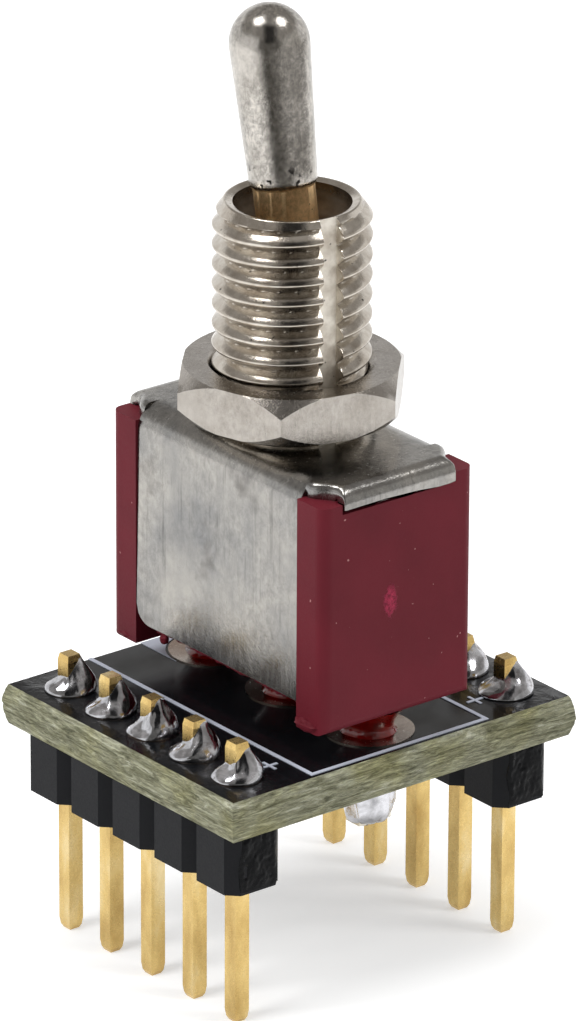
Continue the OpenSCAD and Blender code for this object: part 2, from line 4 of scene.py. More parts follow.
import bmesh
import bpy
from mathutils import Matrix, Vector, noise
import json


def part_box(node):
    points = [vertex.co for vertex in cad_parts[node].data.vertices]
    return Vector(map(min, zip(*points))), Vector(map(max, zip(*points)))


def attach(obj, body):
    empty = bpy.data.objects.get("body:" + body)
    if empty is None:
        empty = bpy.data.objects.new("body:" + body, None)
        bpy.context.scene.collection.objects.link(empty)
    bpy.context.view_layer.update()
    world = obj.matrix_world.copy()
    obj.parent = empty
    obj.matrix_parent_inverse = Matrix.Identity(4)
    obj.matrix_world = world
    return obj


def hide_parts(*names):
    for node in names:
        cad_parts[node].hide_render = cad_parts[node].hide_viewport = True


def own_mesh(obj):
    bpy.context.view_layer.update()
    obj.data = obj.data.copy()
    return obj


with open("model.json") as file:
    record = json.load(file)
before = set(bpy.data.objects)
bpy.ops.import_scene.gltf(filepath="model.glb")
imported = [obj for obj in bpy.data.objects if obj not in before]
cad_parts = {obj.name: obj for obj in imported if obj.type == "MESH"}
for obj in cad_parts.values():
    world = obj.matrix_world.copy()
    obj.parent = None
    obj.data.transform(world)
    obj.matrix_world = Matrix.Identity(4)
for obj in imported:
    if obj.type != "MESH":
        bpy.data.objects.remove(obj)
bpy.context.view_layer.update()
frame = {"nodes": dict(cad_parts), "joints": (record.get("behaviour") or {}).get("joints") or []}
MM = 0.001


# ---- places taken from the frame, in millimetres as every length up to the studio ----

Corner = namedtuple("Corner", "x y z")


def in_mm(corners):
    """The lowest and highest corner of a node, from metres, at full precision."""
    return [Corner(*(value / MM for value in corner)) for corner in corners]


BUSHING_LOW, BUSHING_HIGH = in_mm(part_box("bushing"))
FRAME_LOW, FRAME_HIGH = in_mm(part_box("frame"))
BOARD_LOW, BOARD_HIGH = in_mm(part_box("circuit_board"))
HOUSING_LOW = in_mm(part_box("housing"))[0]
NUT_LOW, NUT_HIGH = in_mm(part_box("mounting_nut"))
PIN_LOW, PIN_HIGH = in_mm(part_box("pin_left_3"))
AXIS_X = (BUSHING_LOW.x + BUSHING_HIGH.x) / 2
AXIS_Y = (BUSHING_LOW.y + BUSHING_HIGH.y) / 2
PLATE_Z = FRAME_HIGH.z
JOINTS = {joint["name"]: joint for joint in frame["joints"]}


# ---- shader nodes ----

class Shader:
    """The node tree of a material or of the world, with short ways to add to it."""

    def __init__(self, owner):
        owner.use_nodes = True
        self.owner = owner
        self.tree = owner.node_tree

    def add(self, kind, **properties):
        """Adds a node with some of its properties set."""
        node = self.tree.nodes.new(kind)
        for key, value in properties.items():
            setattr(node, key, value)
        return node

    def feed(self, socket, value):
        """Links an output to an input, or gives the input a plain value."""
        if isinstance(value, bpy.types.NodeSocket):
            self.tree.links.new(value, socket)
        else:
            socket.default_value = value

    def surface(self, **inputs):
        """Feeds inputs of the Principled shader."""
        principled = self.tree.nodes["Principled BSDF"]
        for name, value in inputs.items():
            self.feed(principled.inputs[name.replace("_", " ")], value)

    def noise(self, scale, detail=4.0, roughness=0.55, distortion=0.0):
        """Noise over the object. Given a scale for each axis, it is drawn out along the small ones."""
        place = self.add("ShaderNodeTexCoord").outputs["Object"]
        if isinstance(scale, tuple):
            mapping = self.add("ShaderNodeMapping")
            self.feed(mapping.inputs["Vector"], place)
            self.feed(mapping.inputs["Scale"], scale)
            place, scale = mapping.outputs["Vector"], 1.0
        texture = self.add("ShaderNodeTexNoise")
        settings = {"Vector": place, "Scale": scale, "Detail": detail, "Roughness": roughness,
                    "Distortion": distortion}
        for name, value in settings.items():
            self.feed(texture.inputs[name], value)
        return texture.outputs["Fac"]

    def ramp(self, fac, *stops):
        """Colour ramp; each stop is a place with a colour or a grey."""
        node = self.add("ShaderNodeValToRGB")
        elements = node.color_ramp.elements
        elements.remove(elements[-1])
        for i, (place, colour) in enumerate(stops):
            element = elements.new(place) if i else elements[0]
            element.position = place
            element.color = (*colour, 1) if isinstance(colour, tuple) else (colour, colour, colour, 1)
        self.feed(node.inputs["Fac"], fac)
        return node.outputs["Color"]

    def mix(self, fac, a, b, blend="MIX"):
        """Mix of two colours, which are outputs or plain colours."""
        node = self.add("ShaderNodeMix", data_type="RGBA", blend_type=blend)
        self.feed(node.inputs[0], fac)
        for index, colour in ((6, a), (7, b)):
            self.feed(node.inputs[index], (*colour, 1) if isinstance(colour, tuple) else colour)
        return node.outputs[2]

    def math(self, operation, a, b=0.0):
        """A sum or another operation on two values, which are outputs or plain numbers."""
        node = self.add("ShaderNodeMath", operation=operation)
        self.feed(node.inputs[0], a)
        self.feed(node.inputs[1], b)
        return node.outputs[0]

    def mask(self, name):
        """How far a point lies in an area that paint() has marked, 0 to 1."""
        return self.add("ShaderNodeAttribute", attribute_name=name).outputs["Fac"]

    def bump(self, height, distance, strength=0.6):
        """Fine relief, distance millimetres high."""
        node = self.add("ShaderNodeBump")
        self.feed(node.inputs["Strength"], strength)
        self.feed(node.inputs["Distance"], distance * MM)
        self.feed(node.inputs["Height"], height)
        self.surface(Normal=node.outputs["Normal"])


def shaded(colour, share):
    """A colour, lighter or darker."""
    return tuple(share * c for c in colour)


# ---- kinds of material ----

def grained(shader, colour, height, scale, darkest, lightest):
    """Worn grain in a plated surface, weak in some areas. Gives the new colour and height."""
    worn = shader.noise((scale, scale, 0.75 * scale), detail=5, roughness=0.8, distortion=0.3)
    area = shader.ramp(shader.noise(260, detail=2), (0.40, 0.35), (0.56, 1.0))
    speckle = shader.mix(area, (1, 1, 1), shader.ramp(worn, (0.36, darkest), (0.62, lightest)))
    relief = shader.math("MULTIPLY", worn, 2.2)
    return shader.mix(1.0, colour, speckle, "MULTIPLY"), shader.math("ADD", height, relief)


def stained(shader, colour, scale, least, stain):
    """Patches of dirt where the noise is above least."""
    patches = shader.noise(scale, detail=8, roughness=0.62)
    return shader.mix(shader.ramp(patches, (least, 0.0), (least + 0.10, 0.75)), colour, stain)


def drawn(shader, colour, scale):
    """Drawing lines in sheet metal, in some areas only."""
    threads = shader.noise(scale, detail=6, roughness=0.75)
    area = shader.ramp(shader.noise(190, detail=3), (0.44, 0.0), (0.58, 1.0))
    lines = shader.mix(area, (1, 1, 1), shader.ramp(threads, (0.36, 0.62), (0.47, 1.0), (0.70, 1.08)))
    return shader.mix(1.0, colour, lines, "MULTIPLY")


def pitted(shader, colour, least, pit):
    """Small dark pits where the noise is above least."""
    spots = shader.noise(5200, detail=1, roughness=0.3)
    return shader.mix(shader.ramp(spots, (least, 0.0), (least + 0.02, 1.0)), colour, pit)


def chipped(shader, colour, area):
    """Black chips in the plating of a painted area."""
    bare = shader.ramp(shader.noise(1700, detail=3, roughness=0.5), (0.555, 0.0), (0.58, 1.0))
    return shader.mix(shader.math("MULTIPLY", shader.mask(area), bare), colour, (0.015, 0.013, 0.012))


def plated(name, light, dark, rough, blotch=900, scratch=(7000, 7000, 900), grain=None, stains=None,
           lines=None, pits=None, chips=None, painted=None):
    """Plated metal: cloudy colour, uneven gloss and faint marks, with the wear and the tinted areas that
    are asked for; one tinted area is painted shade.
    """
    shader = Shader(bpy.data.materials.new(name))
    colour = shader.ramp(shader.noise(blotch, detail=7, roughness=0.6), (0.34, dark), (0.62, light))
    marks = shader.noise(scratch, detail=8, roughness=0.7)
    gloss = shader.ramp(marks, (0.3, rough[0]), (0.7, rough[1]))
    height = shader.math("ADD", shader.noise(9000, detail=3), marks)
    if grain:
        colour, height = grained(shader, colour, height, *grain)
    if stains:
        colour = stained(shader, colour, *stains)
    if lines:
        colour = drawn(shader, colour, lines)
    if pits:
        colour = pitted(shader, colour, pits, shaded(dark, 0.16))
    if chips:
        colour = chipped(shader, colour, chips)
    # Tinted areas: bare brass is a real finish, while the bushing's darker bore is painted shade.
    for area, (tint, roughness) in (painted or {}).items():
        mask = shader.mask(area)
        colour = shader.mix(mask, colour, shader.mix(1.0, colour, tint, "MULTIPLY"))
        gloss = shader.mix(mask, gloss, (roughness,) * 3)
    shader.surface(Metallic=1.0, Base_Color=colour, Roughness=gloss)
    shader.bump(height, 0.005)
    return shader.owner


def scuffed(shader, colour, height, centre, size, torn):
    """A torn spot: its middle, half its size and its colour. Gives the new colour and height."""
    place = shader.add("ShaderNodeNewGeometry").outputs["Position"]
    for operation, lengths in (("SUBTRACT", centre), ("DIVIDE", size)):
        node = shader.add("ShaderNodeVectorMath", operation=operation)
        shader.feed(node.inputs[0], place)
        shader.feed(node.inputs[1], tuple(length * MM for length in lengths))
        place = node.outputs[0]
    distance = shader.add("ShaderNodeVectorMath", operation="LENGTH")
    shader.feed(distance.inputs[0], place)
    rag = shader.noise(5200, detail=5, roughness=0.7)
    edge = shader.math("ADD", distance.outputs["Value"], shader.math("MULTIPLY", rag, 1.6))
    area = shader.ramp(shader.math("MULTIPLY", edge, 0.5), (0.72, 1.0), (0.80, 0.0))
    tone = shader.ramp(rag, (0.38, shaded(torn, 0.35)), (0.62, torn))
    relief = shader.math("MULTIPLY", area, shader.math("MULTIPLY", rag, 9.0))
    return shader.mix(area, colour, tone), shader.math("ADD", height, relief)


def moulded(name, tone, rough, grain=14000, specks=None, shine=0.5, scuff=None):
    """Moulded plastic: fine grain, slow variation, a few pale specks and a torn spot."""
    shader = Shader(bpy.data.materials.new(name))
    colour = shader.ramp(shader.noise(350, detail=3), (0.3, shaded(tone, 0.88)), (0.7, shaded(tone, 1.1)))
    if specks:
        spots = shader.noise(5600, detail=1, roughness=0.3)
        colour = shader.mix(shader.ramp(spots, (0.81, 0.0), (0.83, 1.0)), colour, specks)
    fine = height = shader.noise(grain, detail=4)
    if scuff:
        colour, height = scuffed(shader, colour, height, *scuff)
    gloss = shader.ramp(fine, (0.3, rough[0]), (0.7, rough[1]))
    shader.surface(Base_Color=colour, Roughness=gloss, Specular_IOR_Level=shine)
    shader.bump(height, 0.008)
    return shader.owner


def glass_fibre(shader, fibres, threads):
    """Colour of the board's bare edge: layered fibres, pale threads and yellowish patches."""
    bare = shader.ramp(fibres, (0.30, (0.055, 0.055, 0.030)), (0.44, (0.20, 0.20, 0.125)),
                       (0.56, (0.36, 0.36, 0.25)), (0.70, (0.66, 0.66, 0.55)))
    pale = shader.ramp(threads, (0.36, 0.08), (0.50, 0.5), (0.64, 0.85))
    bare = shader.mix(0.55, bare, pale, "OVERLAY")
    patches = shader.ramp(shader.noise(420, detail=4), (0.45, 0.0), (0.65, 0.6))
    return shader.mix(patches, bare, shader.mix(1.0, bare, (1.05, 1.0, 0.62), "MULTIPLY"))


def board_material():
    """Black mask on the faces, with flux round the headers, and bare glass fibre on the edges."""
    shader = Shader(bpy.data.materials.new("board_laminate"))
    geometry = shader.add("ShaderNodeNewGeometry")
    normal, place = shader.add("ShaderNodeSeparateXYZ"), shader.add("ShaderNodeSeparateXYZ")
    shader.feed(normal.inputs["Vector"], geometry.outputs["Normal"])
    shader.feed(place.inputs["Vector"], geometry.outputs["Position"])
    edge = shader.ramp(shader.math("ABSOLUTE", normal.outputs["Z"]), (0.80, 1.0), (0.95, 0.0))
    fibres = shader.noise((560, 560, 4200), detail=9, roughness=0.75, distortion=1.1)
    threads = shader.noise((1500, 1500, 12000), detail=5, roughness=0.75, distortion=0.7)
    dust = shader.noise(5000, detail=5)
    mask = shader.ramp(dust, (0.35, (0.0045, 0.005, 0.006)), (0.75, (0.009, 0.010, 0.012)))
    gloss = shader.ramp(shader.noise(500, detail=4), (0.35, 0.10), (0.7, 0.24))
    shader.surface(Base_Color=shader.mix(edge, mask, glass_fibre(shader, fibres, threads)),
                   Roughness=shader.mix(edge, gloss, (0.8, 0.8, 0.8)), Specular_IOR_Level=0.30)
    centimetres_out = shader.math("MULTIPLY", shader.math("ABSOLUTE", place.outputs["X"]), 100)
    flux = shader.ramp(centimetres_out, (0.50, 0.0), (0.56, 1.0), (0.74, 1.0), (0.80, 0.0))
    pools = shader.noise(900, detail=5, roughness=0.6, distortion=0.8)
    height = shader.math("MULTIPLY", shader.math("ADD", fibres, threads), edge)
    shader.bump(shader.math("ADD", height, shader.math("MULTIPLY", flux, pools)), 0.10, 0.8)
    return shader.owner


def resin_material():
    """Glossy red resin, with darker and lumpy patches."""
    shader = Shader(bpy.data.materials.new("red_resin"))
    cloud = shader.noise(900, detail=4)
    colour = shader.ramp(cloud, (0.3, (0.045, 0.003, 0.002)), (0.7, (0.24, 0.005, 0.004)))
    shader.surface(Base_Color=colour, Roughness=0.08, Coat_Weight=0.3)
    shader.bump(cloud, 0.05, 0.5)
    return shader.owner


def gold_material():
    """Thin gold plate, paler where it is rubbed along the pins."""
    shader = Shader(bpy.data.materials.new("pin_gold"))
    colour = shader.ramp(shader.noise((900, 900, 350), detail=6), (0.3, (0.46, 0.30, 0.10)),
                         (0.55, (0.68, 0.49, 0.19)), (0.75, (0.80, 0.65, 0.36)))
    fine = shader.noise(6000, detail=5)
    shader.surface(Metallic=1.0, Base_Color=colour, Roughness=shader.ramp(fine, (0.3, 0.2), (0.7, 0.38)))
    shader.bump(fine, 0.008)
    return shader.owner


def solder_material():
    """Bright solder with dull patches, and brown flux here and there."""
    shader = Shader(bpy.data.materials.new("solder_bright"))
    cloud = shader.noise(1500, detail=5, distortion=0.4)
    colour = shader.ramp(cloud, (0.34, (0.30, 0.30, 0.31)), (0.62, (0.68, 0.68, 0.71)))
    flux = shader.ramp(shader.noise(800, detail=6, roughness=0.7), (0.58, 0.0), (0.66, 0.85))
    shader.surface(Metallic=1.0, Base_Color=shader.mix(flux, colour, (0.10, 0.055, 0.03)),
                   Roughness=shader.ramp(cloud, (0.35, 0.06), (0.7, 0.30)))
    shader.bump(shader.noise(900, detail=3, distortion=0.4), 0.07)
    return shader.owner


# ---- mesh helpers ----

def link(obj):
    """Puts a new object into the scene."""
    bpy.context.scene.collection.objects.link(obj)
    return obj


def make_object(name, verts, faces, body, material, sharp):
    """A piece from points in millimetres; edges that bend by more than sharp degrees stay crisp."""
    mesh = bpy.data.meshes.new(name)
    mesh.from_pydata([(x * MM, y * MM, z * MM) for x, y, z in verts], [], faces)
    mesh.validate()
    shell = bmesh.new()
    shell.from_mesh(mesh)
    bmesh.ops.recalc_face_normals(shell, faces=shell.faces)
    shell.to_mesh(mesh)
    shell.free()
    mesh.shade_smooth()
    mesh.set_sharp_from_angle(angle=math.radians(sharp))
    mesh.materials.append(material)
    obj = link(bpy.data.objects.new(name, mesh))
    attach(obj, body)
    return obj


def paint(obj, area, values):
    """Marks each vertex of a piece with how far it lies in an area, 0 to 1."""
    layer = obj.data.attributes.new(area, "FLOAT", "POINT")
    layer.data.foreach_set("value", values)


def wander(x, y, z):
    """Smooth noise about 0 at a place, the same in each run."""
    return noise.noise(Vector((x, y, z)))


def clamp(value, low=0.0, high=1.0):
    """A value held between two limits."""
    return max(low, min(high, value))


def arc_points(radius, first, last, steps, centre=(0.0, 0.0)):
    """Points of an arc between two angles in degrees."""
    angles = [math.radians(first + (last - first) * i / steps) for i in range(steps + 1)]
    return [(centre[0] + radius * math.cos(a), centre[1] + radius * math.sin(a)) for a in angles]


def ring_points(columns, rows, x, y, shape):
    """Points round an upright axis; shape(angle, share of the way) gives their radius and height."""
    points = []
    for i in range(columns):
        angle = 2 * math.pi * i / columns
        for k in range(rows):
            radius, z = shape(angle, k / (rows - 1))
            points.append((x + radius * math.cos(angle), y + radius * math.sin(angle), z))
    return points


def ring_faces(columns, rows, closed_rows=False, start=0):
    """Faces between columns of points that close round an axis, and down each column if asked."""
    faces = []
    for i in range(columns):
        a, b = start + i * rows, start + (i + 1) % columns * rows
        for k in range(rows if closed_rows else rows - 1):
            m = (k + 1) % rows
            faces.append((a + k, b + k, b + m, a + m))
    return faces


def loft(loops):
    """Points and faces of a body through equal closed loops of points, capped at both ends."""
    n, last = len(loops[0]), (len(loops) - 1) * len(loops[0])
    faces = []
    for start in range(0, last, n):
        for k in range(n):
            m = (k + 1) % n
            faces.append((start + k, start + m, start + n + m, start + n + k))
    faces += [tuple(range(n - 1, -1, -1)), tuple(range(last, last + n))]
    return [point for loop in loops for point in loop], faces


def soften(node, width, segments=2, keep_width=False):
    """Rounds the edges of a CAD node as it is drawn."""
    edge = frame["nodes"][node].modifiers.new("edge", "BEVEL")
    edge.width = width * MM
    edge.segments = segments
    edge.limit_method = "ANGLE"
    edge.angle_limit = math.radians(35)
    edge.harden_normals = False
    edge.use_clamp_overlap = not keep_width


def dress(material, *names):
    """Gives CAD nodes a material."""
    for name in names:
        data = frame["nodes"][name].data
        data.materials.clear()
        data.materials.append(material)


# ---- lever: heights are from its pivot, along its own axis ----

TIP_R, TIP_REACH = 1.50, 8.478
SHOULDER_R, SHOULDER_Z = 1.27, 3.3
NECK_R, NECK_FOOT = 1.15, 1.8
BALL_R, STEM_R = 1.90, 0.90
SLEEVE_R, SLEEVE_TOP, SLEEVE_END = 1.35, -7.3, -11.1
SPRING_BORE_R, SPRING_BORE_TOP = 0.93, -8.3


def lever_profile():
    """Half of the lever's section as (radius, height), from the sleeve's bore to the rounded end."""
    ball_first, ball_last = -61.7, math.degrees(math.acos(NECK_R / BALL_R))
    taper_steps = 10
    profile = [(0.0, SPRING_BORE_TOP), (SPRING_BORE_R, SPRING_BORE_TOP), (SPRING_BORE_R, SLEEVE_END)]
    profile += [(SLEEVE_R, SLEEVE_END), (SLEEVE_R, SLEEVE_TOP), (STEM_R, SLEEVE_TOP)]
    profile += arc_points(BALL_R, ball_first, ball_last, 24)
    profile += [(NECK_R, NECK_FOOT), (NECK_R, SHOULDER_Z - 0.16), (NECK_R + 0.05, SHOULDER_Z - 0.1)]
    profile += [(SHOULDER_R - 0.03, SHOULDER_Z - 0.02), (SHOULDER_R, SHOULDER_Z + 0.08)]
    for step in range(1, taper_steps):
        share = step / taper_steps
        radius = SHOULDER_R + (TIP_R - SHOULDER_R) * share
        profile.append((radius, SHOULDER_Z + (TIP_REACH - SHOULDER_Z) * share))
    return profile + arc_points(TIP_R, 0, 90, 22, (0.0, TIP_REACH))


def lever_unevenness(angle, z):
    """Share of the radius: soft waves above the neck, and a ragged edge at the shoulder."""
    share = 1.0
    if z > SHOULDER_Z - 0.2:
        share += 0.004 * wander(2 * math.cos(angle), 2 * math.sin(angle), 0.9 * z)
    if abs(z - SHOULDER_Z) < 0.12:
        share += 0.012 * wander(4 * math.cos(angle), 4 * math.sin(angle), 7.0)
    return share


def lever_piece(material):
    """The bat lever, turned, with a bare brass neck and chips at its shoulder, leaning on its pivot."""
    columns, profile = 96, lever_profile()

    def shape(angle, share):
        radius, z = profile[round(share * (len(profile) - 1))]
        return max(radius, 1e-4) * lever_unevenness(angle, z), z

    verts = ring_points(columns, len(profile), 0.0, 0.0, shape)
    brass = [float(z < SHOULDER_Z - 0.09) for _, _, z in verts]
    band = [float(SHOULDER_Z - 0.05 < z < SHOULDER_Z + 0.7) for _, _, z in verts]
    throw = JOINTS["lever_throw"]
    lean = math.radians(throw["range_deg"][1] / 2)
    place = Matrix.Translation(Vector(throw["pos_m"]) / MM) @ Matrix.Rotation(-lean, 4, "X")
    verts = [place @ Vector(v) for v in verts]
    obj = make_object("bat_lever", verts, ring_faces(columns, len(profile)), "toggle", material,
                      40)
    paint(obj, "brass", brass)
    paint(obj, "shoulder", band)
    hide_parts("lever")


# ---- bushing: heights are above the frame's top plate ----

RIM_R, RIM_Z = 2.52, BUSHING_HIGH.z - PLATE_Z
CREST_R, ROOT_R = 2.96, 2.56
THREAD_PITCH, THREAD_FOOT = 0.77, 0.06
CREST_Z, CREST_ANGLE = 7.86, math.radians(141.6)
NUT_BOTTOM, NUT_TOP = NUT_LOW.z - PLATE_Z, NUT_HIGH.z - PLATE_Z
NUT_MOUTH_R = 3.05
KEY_FLOOR, KEY_ANGLE = 2.50, math.radians(263)
KEY_OPEN = math.asin(0.42 / 2.9)
# Bore and base flange, as (radius, height)
BORE = [(2.44, RIM_Z), (2.20, RIM_Z - 0.10), (2.20, RIM_Z - 0.75), (1.85, RIM_Z - 1.1),
        (1.55, RIM_Z - 1.42), (1.55, RIM_Z - 1.62), (2.0, RIM_Z - 2.4), (2.05, RIM_Z - 3.2), (2.20, -0.62)]
BASE = [(3.3, -0.62), (3.3, -0.42), (2.56, -0.42), (2.56, -0.01)]
BASE_HALF_X = 2.42


def from_keyway(angle):
    """The angle from the middle of the keyway, either way round."""
    return (angle - KEY_ANGLE + math.pi) % (2 * math.pi) - math.pi


def bushing_angles():
    """Even columns round the bushing, and close ones across the keyway and its edges."""
    angles = [2 * math.pi * i / 160 for i in range(160)]
    angles = [a for a in angles if abs(from_keyway(a)) > KEY_OPEN * 1.08]
    for side in (-1, 1):
        angles += [KEY_ANGLE + side * KEY_OPEN * share for share in (0.35, 0.7, 0.985, 1.0, 1.05)]
    angles.append(KEY_ANGLE)
    return sorted(a % (2 * math.pi) for a in angles)


def thread_drop(turns):
    """How far the thread lies below its crest, 0 to 1, at some turns from the middle of a crest."""
    crest = 0.06
    away = 2 * abs((turns + 0.5) % 1.0 - 0.5)
    return max(0.0, away - crest) ** 1.3 / (1 - crest) ** 1.3


def thread_radius(angle, z):
    """Outer radius: a worn helical thread, cut away inside the nut and chamfered at the rim."""
    if z == RIM_Z:
        return RIM_R - 0.03
    drop = thread_drop((z - CREST_Z) / THREAD_PITCH - (angle - CREST_ANGLE) / (2 * math.pi))
    radius = CREST_R - (CREST_R - ROOT_R) * drop
    radius = ROOT_R + (radius - ROOT_R) * clamp((z - THREAD_FOOT) / 0.12)
    chamfer = RIM_R + (RIM_Z - z) * 0.74
    if NUT_BOTTOM < z < NUT_TOP:
        cleared = max(ROOT_R, NUT_MOUTH_R - (z - NUT_BOTTOM), NUT_MOUTH_R - (NUT_TOP - z))
        return min(radius, cleared, chamfer)
    wear = wander(3 * math.cos(angle), 3 * math.sin(angle), 2.2 * z)
    fine = wander(11 * math.cos(angle), 11 * math.sin(angle), 9 * z)
    return min(radius, chamfer) + 0.005 * wear + 0.002 * fine


def keyed_radius(angle, z):
    """Outer radius with the flat-floored keyway, and its edge torn on the side where the tool left."""
    radius, off = thread_radius(angle, z), from_keyway(angle)
    if abs(off) < KEY_OPEN * 0.99:
        radius = min(radius, KEY_FLOOR / math.cos(off))
    elif 0 < off < KEY_OPEN * 1.02:
        radius -= 0.12 * max(0.0, wander(5 * z, 4.0, 0.5))
    return min(radius, CREST_R + 0.004)


def bushing_piece(material):
    """The threaded bushing, with its keyway, bore, seat and base flange."""
    step = 0.03
    heights = [step * i for i in range(int(RIM_Z / step))] + [RIM_Z - 0.012, RIM_Z]
    angles = bushing_angles()
    points = []
    for angle in angles:
        keyed = float(abs(from_keyway(angle)) < KEY_OPEN * 0.99)
        flat = BASE_HALF_X / max(0.3, abs(math.cos(angle)))
        column = [(keyed_radius(angle, z), z, keyed, 0.0) for z in heights]
        column += [(radius, z, 0.0, float(k > 1)) for k, (radius, z) in enumerate(BORE)]
        column += [(min(radius, flat), z, 0.0, 0.0) for radius, z in BASE]
        points += [(angle, *point) for point in column]
    verts = [(AXIS_X + radius * math.cos(angle), AXIS_Y + radius * math.sin(angle), PLATE_Z + z)
             for angle, radius, z, _, _ in points]
    faces = ring_faces(len(angles), len(points) // len(angles), closed_rows=True)
    obj = make_object("threaded_bushing", verts, faces, "base", material, 50)
    paint(obj, "milled", [point[3] for point in points])
    # The bore is marked for painted shade: the material tints its inside darker and rougher.
    paint(obj, "bore", [point[4] for point in points])
    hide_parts("bushing")


# ---- folded frame, built about its own middle ----

SHEET, BEND_R = 0.42, 1.0
FRAME_HALF_X = (FRAME_HIGH.x - FRAME_LOW.x) / 2
FRAME_HALF_Y = (FRAME_HIGH.y - FRAME_LOW.y) / 2
SIDE_HALF_Y, SIDE_Z, BEND_Z = 4.83, FRAME_LOW.z, PLATE_Z - BEND_R
LIP_HALF_X, TAB_HALF_X, TAB_H = FRAME_HALF_X - 0.3, 2.6, 0.9
LIP_FOOT_Z = PLATE_Z - 0.57


def half_section(sign, low, proud, inset):
    """Half of a cross-section of the top and one side plate, inset from their outer face."""
    flat_x = FRAME_HALF_X - BEND_R
    points = []
    for k in range(10):
        z = low + (BEND_Z - low) * k / 10
        points.append((sign * (FRAME_HALF_X + proud * (BEND_Z - z) / (BEND_Z - SIDE_Z)) - sign * inset, z))
    points += [(sign * x, z) for x, z in arc_points(BEND_R - inset, 0, 90, 10, (flat_x, BEND_Z))]
    return points + [(sign * flat_x * (1 - k / 6), PLATE_Z - inset) for k in range(1, 6)]


def frame_shell():
    """The U of top and side plates, with rounded lower corners and a little proud at the rear."""
    rear_r, nose_r, proudest = 0.8, 0.12, 0.09
    count = 72
    loops = []
    for i in range(count + 1):
        y = -SIDE_HALF_Y + 2 * SIDE_HALF_Y * i / count
        low = SIDE_Z
        for corner_r, past in ((rear_r, y - SIDE_HALF_Y + rear_r), (nose_r, nose_r - SIDE_HALF_Y - y)):
            if past > 0:
                low += corner_r - math.sqrt(max(0.0, corner_r ** 2 - past ** 2))
        proud = proudest * max(0.0, y / SIDE_HALF_Y) ** 2
        skins = []
        for inset in (0.0, SHEET):
            right, left = (half_section(sign, low, proud, inset) for sign in (1, -1))
            skins.append(right + [(0.0, PLATE_Z - inset)] + left[::-1])
        loop = []
        for x, z in skins[0] + skins[1][::-1]:
            ripple = 0.006 * wander(0.9 * x, 0.7 * y, 0.8 * z)
            in_side, on_top = z < BEND_Z, z > PLATE_Z - 0.01
            loop.append((x + (ripple if in_side else 0.0), y, z + (ripple if on_top else 0.0)))
        loops.append(loop)
    return loft(loops)


def lip_section(half, edge, deep):
    """Half of a cross-section of the lip, as (distance from the middle, depth under the top)."""
    flat = [((half - edge) * k / 10, 0.0) for k in range(11)]
    turns = [math.radians(degrees) for degrees in range(15, 91, 15)]
    curl = [(half - edge + edge * math.sin(turn), edge * (1 - math.cos(turn))) for turn in turns]
    return flat + curl + [(half, deep), (half - SHEET, deep), (half - SHEET - 0.02, SHEET)]


def frame_end(sign):
    """Lip over one flange, curling down at its edges and over the end into the ragged tab."""
    tab_bend, curl, upright = 0.6, 0.30, 0.25
    flat_end = FRAME_HALF_Y - tab_bend
    arc = 0.5 * math.pi * tab_bend
    tab_flat = TAB_H - tab_bend
    first = SIDE_HALF_Y - 0.02
    stations = [first + (flat_end - first) * i / 14 for i in range(15)]
    stations += [flat_end + arc * i / 14 for i in range(1, 15)]
    stations += [flat_end + arc + tab_flat * i / 4 for i in range(1, 5)]
    loops = []
    for station in stations:
        over = max(0.0, station - flat_end)
        turn = min(over, arc) / tab_bend
        y = min(station, flat_end) + tab_bend * math.sin(turn)
        z = PLATE_Z - tab_bend * (1 - math.cos(turn)) - max(0.0, over - arc)
        along = min(1.0, (station - SIDE_HALF_Y) / (flat_end + 0.12 - SIDE_HALF_Y))
        ease = max(0.0, (along - 0.12) / 0.88)
        half = LIP_HALF_X - (LIP_HALF_X - TAB_HALF_X) * (ease ** 2 * (3 - 2 * ease))
        edge = max(0.07, curl * (1 - max(0.0, over - upright) / 0.45))
        folded = min(1.0, over / upright)
        deep = (PLATE_Z - LIP_FOOT_Z) * (1 - folded) + SHEET * folded
        section = lip_section(half, edge, max(deep, edge))
        torn = clamp((over - arc * 0.9) / (tab_flat + arc * 0.1))
        loop = []
        for x, depth in section + [(-x, depth) for x, depth in section[:0:-1]]:
            rag = 0.14 * wander(1.7 * x, 5.0 * sign, 0.3) + 0.07 * wander(6 * x, 1.0, 2.0)
            lift = torn * max(0.0, rag + 0.05 - 0.12 * x * sign / TAB_HALF_X)
            loop.append((sign * x, sign * (y - math.sin(turn) * depth), z + lift - math.cos(turn) * depth))
        loops.append(loop)
    return loft(loops)


def frame_piece(material):
    """The folded metal frame, with its top plate narrowing over both flanges to the end tabs."""
    verts, faces = [], []
    for part_verts, part_faces in (frame_shell(), frame_end(-1), frame_end(1)):
        faces += [tuple(len(verts) + v for v in face) for face in part_faces]
        verts += [(x + AXIS_X, y + AXIS_Y, z) for x, y, z in part_verts]
    obj = make_object("folded_frame", verts, faces, "base", material, 42)
    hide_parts("frame")


# ---- solder, resin and spring ----

